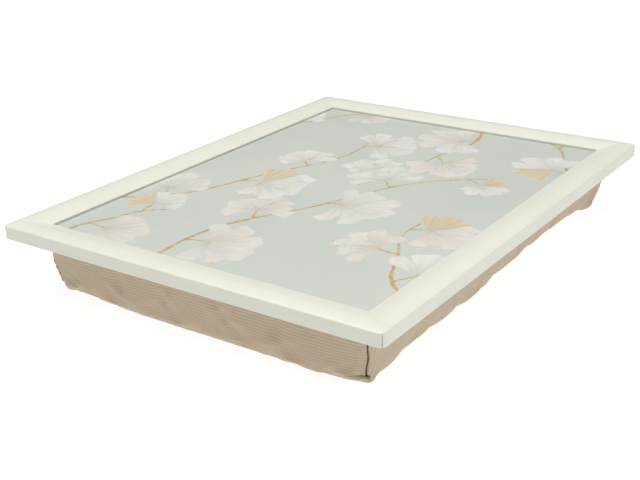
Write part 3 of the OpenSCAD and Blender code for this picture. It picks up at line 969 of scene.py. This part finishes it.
def seam_relief(props, along, up):
    """The corner seam and its tuck: along is the distance past the seam, up the height over the underside's
    edge, both measured on the cloth. The seam is a bell-shaped groove with a puckered ridge before it and a
    puff past it, and the tuck a lens-shaped crease over a lip. Returns the relief, and the painted shade that
    darkens the seam's groove and the tuck's crease."""
    bent = along + 0.5 * MM * np.sin(up / (7.5 * MM)) + 0.3 * MM * np.sin(up / (3.1 * MM) + 1.0)
    pulled = 1 + 0.3 * np.sin(up / (0.9 * MM))
    ridge = 0.9 * MM * bell(bent + 1.3 * MM, 0.9 * MM) * pulled
    groove = bell(bent - 0.1 * MM, 0.55 * MM)
    puff = 0.7 * MM * ramp(bent, 0, 6 * MM) * np.exp(-np.clip(bent, 0, None) / (12 * MM))
    hollow = -1.0 * MM * bell(bent + 13 * MM, 8 * MM) * ramp(up, 0, 10 * MM)
    sewn = ramp(up, SEAM_FOOT, 3 * MM)
    relief = sewn * (ridge - props.seam_depth * groove + puff) + hollow
    # The tuck opens towards the seam, and ends just past it
    reach = ramp(along, 1.2 * MM - props.tuck_reach, props.tuck_reach) * ramp(-along, -2.6 * MM, 1.4 * MM)
    opened = 0.5 - 0.5 * np.cos(math.pi * reach)
    middle = TUCK_HEIGHT + 2.2 * MM * (1 - reach)
    lens = bell(up - middle, (0.8 + 1.3 * reach) * MM) * opened
    # The lip runs on past the seam and dies away in the next side's foot
    rolled = ramp(along, -props.tuck_reach, props.tuck_reach)
    rolled = rolled * ramp(-along, -LIP_END * props.tuck_reach, LIP_END * props.tuck_reach)
    rolled = 0.5 - 0.5 * np.cos(math.pi * rolled)
    lip = props.tuck_lip * bell(up - middle + 5.4 * MM, 3.8 * MM) * rolled
    # Painted shade: darker in the seam's groove and in the tuck's crease
    dark = np.clip(0.9 * groove * (0.6 + 0.4 * pulled) * sewn + 0.95 * lens ** 1.4, 0, 1)
    return relief + lip - 1.6 * MM * lens, dark


def cloth_measures(rest, levels):
    """Distances on the cloth at each point: round the outline, its whole length at each row, up from the
    underside's edge, and the row of that edge."""
    rows, columns = rest.shape[:2]
    steps = np.linalg.norm(np.diff(np.concatenate([rest, rest[:, :1]], axis=1), axis=1), axis=-1)
    around = np.concatenate([np.zeros((rows, 1)), np.cumsum(steps, axis=1)], axis=1)
    foot_row = int(np.flatnonzero(levels >= 2)[0])
    drops = np.linalg.norm(np.diff(rest, axis=0), axis=-1)[:foot_row]
    up = np.concatenate([np.cumsum(drops[::-1], axis=0)[::-1], np.zeros((rows - foot_row, columns))])
    return around, around[:, -1:], up, foot_row


def sew_corners(props, places, measures, fade):
    """The four corner seams and tucks: each point's relief and painted shade, and which side's cloth it is.
    """
    quarter, corner, _ = places
    around, whole, up, _ = measures
    relief = np.zeros(up.shape)
    dark = np.zeros(up.shape)
    cloth = np.broadcast_to(quarter, up.shape).copy()
    slant = props.seam_slant * np.clip(1 - up / (CLOTH_LO.z - COVER_LO.z), 0, 1)
    for q, shift in enumerate(SEAM_SHIFTS):
        first = int(np.flatnonzero((quarter == q) & corner)[0])
        seam = around[:, first + int((props.seam_share + shift) * BEND_STEPS)][:, None] + slant
        # Distances from a seam wrap round the outline
        along = (around[:, :-1] - seam + whole / 2) % whole - whole / 2
        close = np.abs(along) < SEAM_REACH + 10 * MM
        cloth[close & (along < 0)] = (q + 3) % 4
        cloth[close & (along >= 0)] = q
        part, seam_shade = seam_relief(props, along, up)
        near = bell(np.clip(np.abs(along) - SEAM_REACH, 0, None), 10 * MM) * fade
        relief += part * near
        dark = np.maximum(dark, seam_shade * near)
    return relief, dark, cloth


def cushion_cover(props):
    """The cover: the cushion's skin on a fine grid, swollen by the simulation, with its corner seams, tucks
    and slight unevenness, an inner wall, and the sheet's own coordinates as a UV map."""
    sizes = [2 * (half - props.foot_corner) for half in CLOTH_HI[:2]]
    places = columns_round([graded(size) for size in sizes * 2], BEND_STEPS)
    levels = levels_down(34, 20, 12)
    rest = cushion_surface(props, places, levels)
    points = rest
    swollen, coarse_places, coarse_levels = simulate_swelling(props)
    down = smooth_weights(levels, coarse_levels)
    across = smooth_weights(place_round(places), place_round(coarse_places), 4.0)
    points = rest + (down @ swollen @ across.T)[..., None] * grid_normals(rest)
    points = uneven_fill(points, places, levels)
    rows, columns = points.shape[:2]
    measures = cloth_measures(rest, levels)
    around, _, up, foot_row = measures
    fade = np.clip((2.0 - levels) * 6, 0, 1)[:, None]
    relief, dark, cloth = sew_corners(props, places, measures, fade)
    # Beads push small lumps through, most near the foot, and fine ones all the way down
    lump = 0.3 * MM * waves(around[:, :-1], up, 5, 9, 30, 85) * ramp(levels, 0.35, 0.9)[:, None]
    fine = 0.07 * MM * waves(around[:, :-1], up, 9, 9, 10, 22) * ramp(levels, 0, 0.25)[:, None]
    relief += (lump + fine) * fade
    points = points + relief[..., None] * grid_normals(points)
    points[..., 2] = np.clip(points[..., 2], 0.0, CLOTH_LO.z)
    # The inner wall follows every sixth row, and an underside of its own closes it
    inner_rows = np.arange(0, foot_row + 1, 6)
    inner = points[inner_rows] - props.wall * grid_normals(points)[inner_rows]
    inner[..., 2] = np.clip(inner[..., 2], props.wall, CLOTH_LO.z)
    inner[0, :, 2] = points[0, :, 2]
    outer_n, inner_n = rows * columns, len(inner_rows) * columns
    every = np.concatenate([points.reshape(-1, 3), inner.reshape(-1, 3), [[0, 0, 0], [0, 0, props.wall]]])
    ring = np.arange(columns)
    obj = mesh_object("ribbed_cover", every, [
        grid_faces(rows, columns, True),
        grid_faces(len(inner_rows), columns, True, outer_n)[:, ::-1],
        band(ring, outer_n + ring),
        fan(ring + outer_n - columns, outer_n + inner_n),
        fan(ring + outer_n + inner_n - columns, outer_n + inner_n + 1, up=True),
    ])
    # The corner seams' painted shade goes to the material as a number on every vertex
    add_values(obj, "fold_in", np.concatenate([dark.ravel(), np.zeros(len(every) - outer_n)]))
    add_sheet_map(obj, rest, places, measures, cloth, props.rib_rise)
    return obj


def add_sheet_map(obj, rest, places, measures, cloth, rib_rise):
    """The cut sheet's own coordinates, in metres. Ribs run across the first one. Under the cushion it is the
    place itself; a short side goes on upwards from there, with its ribs drawn up by the cube of the way to
    its corners, and a long side goes on round its corners to the seam."""
    quarter, corner, share = places
    around, whole, up, foot_row = measures
    rows, columns = up.shape
    column = np.arange(columns)
    half_way = [int(np.flatnonzero((quarter == q) & ~corner & (share >= 0.5))[0]) for q in range(4)]
    foot_edge = np.abs(rest[foot_row, :, 0]).max()
    long_side = cloth[:-1] % 2 == 0
    sheet = np.zeros((rows - 1, columns, 4, 2))
    for place, (down, past) in enumerate(((0, 0), (1, 0), (1, 1), (0, 1))):
        part = slice(down, rows - 1 + down)
        middle = np.take_along_axis(around[part][:, half_way], cloth[:-1], axis=1)
        half = whole[part] / 2
        run = (around[part][:, column + past] - middle + half) % whole[part] - half
        here = (column + past) % columns
        climb = up[part][:, here]
        to_corner = np.clip(np.abs(run) / CLOTH_HI.y, 0, 1) ** 3
        drawn_up = rib_rise * to_corner * ramp(climb, 0, 0.3 * CLOTH_LO.z)
        sheet[:, :, place, 0] = np.where(long_side, run, foot_edge + climb - drawn_up)
        sheet[:, :, place, 1] = np.where(long_side, climb, run)
        sheet[foot_row:, :, place] = rest[foot_row + down:rows - 1 + down][:, here, :2]
    # The inner wall and the closing faces take their places seen from above
    corners = np.empty(len(obj.data.loops), np.int32)
    obj.data.loops.foreach_get("vertex_index", corners)
    values = mesh_points(obj.data)[corners, :2]
    values[:sheet.size // 2] = sheet.reshape(-1, 2)
    layer = obj.data.uv_layers.new(name="sheet")
    layer.data.foreach_set("uv", values.ravel())


def bead_heap(props):
    """The fill: the cushion's skin a little inside the cover, with a lumpy bead surface."""
    levels = levels_down(12, 8, 8)
    points = cushion_surface(props, even_places(90, 66, 8), levels)
    points = points - 5 * props.wall * grid_normals(points)
    floor_z, top_z = 1.3 * props.wall, CLOTH_LO.z - 0.4 * MM
    points[..., 2] = np.clip(points[..., 2], floor_z, top_z)
    lump = waves(points[..., 0] + points[..., 2], points[..., 1], 3, 8, 6, 12)
    points = points - 0.6 * MM * (1 + lump)[..., None] * grid_normals(points)
    points[0, :, 2] = top_z
    rows, columns = points.shape[:2]
    count = rows * columns
    every = np.concatenate([points.reshape(-1, 3), [[0, 0, floor_z], [0, 0, top_z]]])
    ring = np.arange(columns)
    return mesh_object("bead_heap", every, [
        grid_faces(rows, columns, True), fan(ring + count - columns, count), fan(ring, count + 1, up=True)])


def top_cloth(props):
    """The cloth that closes the cushion under the tray: rings from the top edge in to the middle, puckered
    along the seam and a little crowned between the tapes, with an underside of the same rings."""
    x, y = outline(even_places(130, 96, 8), CLOTH_HI.x, CLOTH_HI.y, props.top_corner, 0.0)
    inward = np.concatenate([[1.0, 0.9995], np.linspace(0.996, 0.03, 46)])[:, None]
    x, y = x * inward, y * inward
    rows, columns = x.shape
    from_edge = np.minimum(CLOTH_HI.x - np.abs(x), CLOTH_HI.y - np.abs(y))
    pucker = 0.18 * MM * waves(x, y, 13, 10, 6, 14) * bell(from_edge, 12 * MM)
    seam = -0.35 * MM * bell(from_edge - TOP_SEAM_INSET, 0.9 * MM)
    crown = 1.1 * MM * ramp(from_edge, 0, 50 * MM) * np.clip(1 - np.abs(y) / (60 * MM), 0, 1)
    slack = 0.25 * MM * waves(x, y, 17, 8, 30, 90)
    inside = ramp(from_edge, 4 * MM, 20 * MM)
    # The cloth stays flat under the tapes, which lie near the corners
    flat = ramp(np.abs(y), 70 * MM, 10 * MM) * ramp(np.abs(x), 60 * MM, 10 * MM)
    rise = (pucker + seam) * (from_edge > 1e-6) + (crown + slack) * inside * (1 - flat)
    top_z = CLOTH_HI.z - 0.2 * MM * (inward < 0.9996) + rise
    top_z[0] = CLOTH_HI.z - 0.25 * (CLOTH_HI.z - CLOTH_LO.z)
    top = np.stack([x, y, top_z], axis=-1)
    under_rows = np.arange(0, rows, 5)
    under = np.stack([x, y, np.full(x.shape, CLOTH_LO.z)], axis=-1)[under_rows]
    middles = [[0, 0, top_z[-1].mean()], [0, 0, CLOTH_LO.z]]
    every = np.concatenate([top.reshape(-1, 3), under.reshape(-1, 3), middles])
    top_n, under_n = rows * columns, len(under_rows) * columns
    ring = np.arange(columns)
    return mesh_object("top_cloth", every, [
        grid_faces(rows, columns, True)[:, ::-1],
        grid_faces(len(under_rows), columns, True, top_n),
        band(top_n + ring, ring),
        fan(ring + top_n - columns, top_n + under_n, up=True),
        fan(ring + top_n + under_n - columns, top_n + under_n + 1),
    ])


def stitch_row(path, props, height):
    """Stitches along a closed or open path: each a small spindle, its ends sunk into the cloth."""
    run = np.concatenate([[0], np.cumsum(np.linalg.norm(np.diff(path, axis=0), axis=1))])
    count = int(run[-1] // (props.stitch + props.stitch_gap))
    middle = (np.arange(count) + 0.5) * run[-1] / count

    def at(distance):
        return np.stack([np.interp(distance, run, path[:, k]) for k in range(2)], axis=1)

    centre = at(middle)
    ahead = at(middle + MM) - centre
    ahead /= np.linalg.norm(ahead, axis=1, keepdims=True) + 1e-12
    side = np.stack([-ahead[:, 1], ahead[:, 0]], axis=1)
    around = np.arange(THREAD_SIDES) * math.tau / THREAD_SIDES
    t = np.linspace(-1, 1, 5)
    fat = props.thread_width / 2 * np.sqrt(np.clip(1 - t ** 2, 0.04, 1))
    sag = -0.4 * MM * t ** 4
    local_x = (t * props.stitch / 2)[:, None] + 0 * around
    local_y = fat[:, None] * np.cos(around)
    local_z = fat[:, None] * np.sin(around) * 0.7 + sag[:, None]
    plane = (centre[:, None, None, :] + local_x[None, :, :, None] * ahead[:, None, None, :]
             + local_y[None, :, :, None] * side[:, None, None, :])
    level = np.broadcast_to(local_z + height, (count, *local_z.shape))
    points = np.concatenate([plane, level[..., None]], axis=-1).reshape(count, -1, 3)
    size = points.shape[1]
    shift = (np.arange(count) * size)[:, None]
    quads = (grid_faces(len(t), THREAD_SIDES, True)[:, ::-1][None] + shift[..., None]).reshape(-1, 4)
    near = np.arange(THREAD_SIDES) + shift
    far = np.arange(THREAD_SIDES)[::-1] + shift + size - THREAD_SIDES
    return points.reshape(-1, 3), quads, near, far


def stitches(name, rows):
    """Joins rows of stitches into one mesh."""
    points, quads, caps, shift = [], [], [], 0
    for row_points, row_quads, near, far in rows:
        points.append(row_points)
        quads.append(row_quads + shift)
        caps += [near + shift, far + shift]
        shift += len(row_points)
    return mesh_object(name, np.concatenate(points), [np.concatenate(quads), np.concatenate(caps)])


def rectangle_path(lo, hi, inset):
    """A closed path this far inside a rectangle."""
    x0, y0, x1, y1 = lo.x + inset, lo.y + inset, hi.x - inset, hi.y - inset
    return np.array([[x0, y0], [x1, y0], [x1, y1], [x0, y1], [x0, y0]])


# Operators


class LAPTRAY_OT_stage(bpy.types.Operator):
    """Makes the floor, the soft studio light and the camera at the photograph's angle"""

    bl_idname = "laptray.stage"
    bl_label = "Stage and camera"

    def execute(self, context):
        props = context.scene.lap_tray_stage
        context.scene.view_settings.view_transform = "Standard"
        self.add_floor(props)
        self.add_room(props)
        for name, (place, size) in LIGHTS.items():
            self.add_light(name, place, size, getattr(props, name + "_power"))
        self.add_camera(props)
        return {"FINISHED"}

    def add_floor(self, props):
        """A square floor that glows by itself."""
        side = props.floor_size / 2
        corners = np.array([[-side, -side, 0], [side, -side, 0], [side, side, 0], [-side, side, 0]])
        floor = mesh_object("floor", corners, [np.array([[0, 1, 2, 3]])], smooth=False)
        net = Finish(
            "floor", 0.9, Specular_IOR_Level=0.1, Emission_Strength=props.floor_glow,
            Emission_Color=(1.0, 1.0, 1.0, 1.0))
        paler = tuple(min(1.0, 1.01 * part) for part in props.floor_colour)
        tone = net.blend(net.noise(net.place, 3.0), props.floor_colour, paler)
        floor.data.materials.append(net.done(tone))

    def add_room(self, props):
        """The room is seen pale, like the floor, and lights the tray by its own strength."""
        world = bpy.data.worlds.new("studio")
        world.use_nodes = True
        net = Net(world.node_tree)
        back = net.tree.nodes["Background"]
        back.inputs["Color"].default_value = (1.0, 1.0, 1.0, 1.0)
        back.inputs["Strength"].default_value = props.room_light
        seen = net.add("Background", {"Color": props.room_colour})
        rays = net.add("LightPath")
        mix = net.add(
            "MixShader", {0: rays.outputs["Is Camera Ray"], 1: back.outputs[0], 2: seen.outputs[0]})
        net.feed(net.tree.nodes["World Output"].inputs["Surface"], mix.outputs[0])
        bpy.context.scene.world = world

    def add_light(self, name, place, size, power):
        """A square light that faces the tray."""
        light = bpy.data.lights.new(name, "AREA")
        light.size = size
        light.energy = power
        obj = bpy.data.objects.new(name, light)
        obj.location = place
        obj.rotation_mode = "QUATERNION"
        obj.rotation_quaternion = (-Vector(place)).to_track_quat("-Z", "Y")
        bpy.context.scene.collection.objects.link(obj)

    def add_camera(self, props):
        """The camera: its line of sight from the heading and the fall, then turned about it by the roll."""
        camera = bpy.data.objects.new("camera", bpy.data.cameras.new("camera"))
        camera.data.sensor_width = 36.0
        camera.data.lens = props.lens
        camera.data.clip_start = 0.01
        level = math.cos(props.fall)
        ahead = Vector((
            math.cos(props.heading) * level, math.sin(props.heading) * level, -math.sin(props.fall)))
        right = Vector((ahead.y, -ahead.x, 0)).normalized()
        turned = right * math.cos(props.roll) + right.cross(ahead) * math.sin(props.roll)
        pose = Matrix((turned, turned.cross(ahead), -ahead)).transposed().to_4x4()
        pose.translation = (props.camera_x, props.camera_y, props.camera_z)
        camera.matrix_world = pose
        bpy.context.scene.collection.objects.link(camera)
        bpy.context.scene.camera = camera


class LAPTRAY_OT_rails(bpy.types.Operator):
    """Paints the four mitred rails"""

    bl_idname = "laptray.rails"
    bl_label = "Rails"

    def execute(self, context):
        props = context.scene.lap_tray_paint
        paints = (
            (paint_material("ivory_paint_long", props, True), LONG_RAILS),
            (paint_material("ivory_paint_short", props, False), SHORT_RAILS))
        for paint, rails in paints:
            for node in rails:
                obj = dress_node(node, paint)
                obj.data.polygons.foreach_set("use_smooth", np.full(len(obj.data.polygons), True))
                obj.data.set_sharp_from_angle(angle=SHARP_ANGLE)
        return {"FINISHED"}


class LAPTRAY_OT_panel(bpy.types.Operator):
    """Makes the printed sheet and finishes its backing board"""

    bl_idname = "laptray.panel"
    bl_label = "Printed panel"

    def execute(self, context):
        props = context.scene.lap_tray_print
        sheet = print_sheet(props)
        dress(sheet, print_material(props), "tray")
        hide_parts("printed_panel")
        dress_node("backing_board", board_material(context.scene.lap_tray_hidden))
        return {"FINISHED"}


class LAPTRAY_OT_fasteners(bpy.types.Operator):
    """Finishes the wedge nails, the board points and the hook-and-loop tapes"""

    bl_idname = "laptray.fasteners"
    bl_label = "Fasteners"

    def execute(self, context):
        props = context.scene.lap_tray_hidden
        steel = steel_material(props)
        for node in ("corner_wedge_nails", "board_points"):
            dress_node(node, steel)
        hooks = hook_material(props)
        loops = plain_cloth_material("loop_tape", props.tape, pitch=0.5 * MM, fuzz=0.85)
        rows = []
        for corner in CORNERS:
            dress_node(corner + "_hook_tape", hooks)
            dress_node(corner + "_loop_tape", loops)
            lo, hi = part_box(corner + "_loop_tape")
            path = rectangle_path(lo, hi, inset=2.5 * MM)
            rows.append(stitch_row(path, props, height=hi.z - 0.2 * MM))
        sewn = stitches("loop_tape_stitches", rows)
        dress(sewn, thread_material(props), "cushion")
        return {"FINISHED"}


class LAPTRAY_OT_cushion(bpy.types.Operator):
    """Makes the swollen ribbed cover, the top cloth, its stitching and the bead fill"""

    bl_idname = "laptray.cushion"
    bl_label = "Cushion"

    def execute(self, context):
        props = context.scene.lap_tray_cushion
        hidden = context.scene.lap_tray_hidden
        cover = cushion_cover(props)
        dress(cover, ribbed_material(props), "cushion")
        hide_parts("cushion_cover")
        heap = bead_heap(props)
        dress(heap, bead_material(), "cushion")
        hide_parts("bead_fill")
        cloth = top_cloth(props)
        lining = plain_cloth_material("top_lining", props.lining, pitch=0.6 * MM, fuzz=0.3)
        dress(cloth, lining, "cushion")
        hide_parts("cushion_top_cloth")
        hw, hd = CLOTH_HI.x - TOP_SEAM_INSET, CLOTH_HI.y - TOP_SEAM_INSET
        x, y = outline(even_places(60, 44, 8), hw, hd, props.top_corner - 4 * MM, 0.0)
        path = np.stack([np.append(x[0], x[0, 0]), np.append(y[0], y[0, 0])], axis=1)
        row = stitch_row(path, hidden, height=CLOTH_HI.z - 0.3 * MM)
        dress(stitches("top_cloth_stitches", [row]), thread_material(hidden), "cushion")
        return {"FINISHED"}


class LAPTRAY_PT_panel(bpy.types.Panel):
    """Lists the tray's steps and sizes"""

    bl_label = "Lap tray"
    bl_idname = "LAPTRAY_PT_panel"
    bl_space_type = "VIEW_3D"
    bl_region_type = "UI"
    bl_category = "Lap tray"

    def draw(self, context):
        for kind, group in STEPS.values():
            box = self.layout.box()
            box.operator(kind.bl_idname)
            props = getattr(context.scene, group)
            for key in props.__annotations__:
                box.prop(props, key)


GROUPS = {
    "lap_tray_stage": LapTrayStage,
    "lap_tray_paint": LapTrayPaint,
    "lap_tray_print": LapTrayPrint,
    "lap_tray_cushion": LapTrayCushion,
    "lap_tray_hidden": LapTrayHidden,
}
STEPS = {
    "stage": (LAPTRAY_OT_stage, "lap_tray_stage"),
    "rails": (LAPTRAY_OT_rails, "lap_tray_paint"),
    "panel": (LAPTRAY_OT_panel, "lap_tray_print"),
    "fasteners": (LAPTRAY_OT_fasteners, "lap_tray_hidden"),
    "cushion": (LAPTRAY_OT_cushion, "lap_tray_cushion"),
}


def register():
    for kind in (*GROUPS.values(), *(step[0] for step in STEPS.values()), LAPTRAY_PT_panel):
        bpy.utils.register_class(kind)
    for name, kind in GROUPS.items():
        setattr(bpy.types.Scene, name, PointerProperty(type=kind))


def unregister():
    for name in GROUPS:
        delattr(bpy.types.Scene, name)
    for kind in (LAPTRAY_PT_panel, *(step[0] for step in STEPS.values()), *GROUPS.values()):
        bpy.utils.unregister_class(kind)


def main():
    register()
    for name in STEPS:
        getattr(bpy.ops.laptray, name)()


if __name__ == "__main__":
    main()
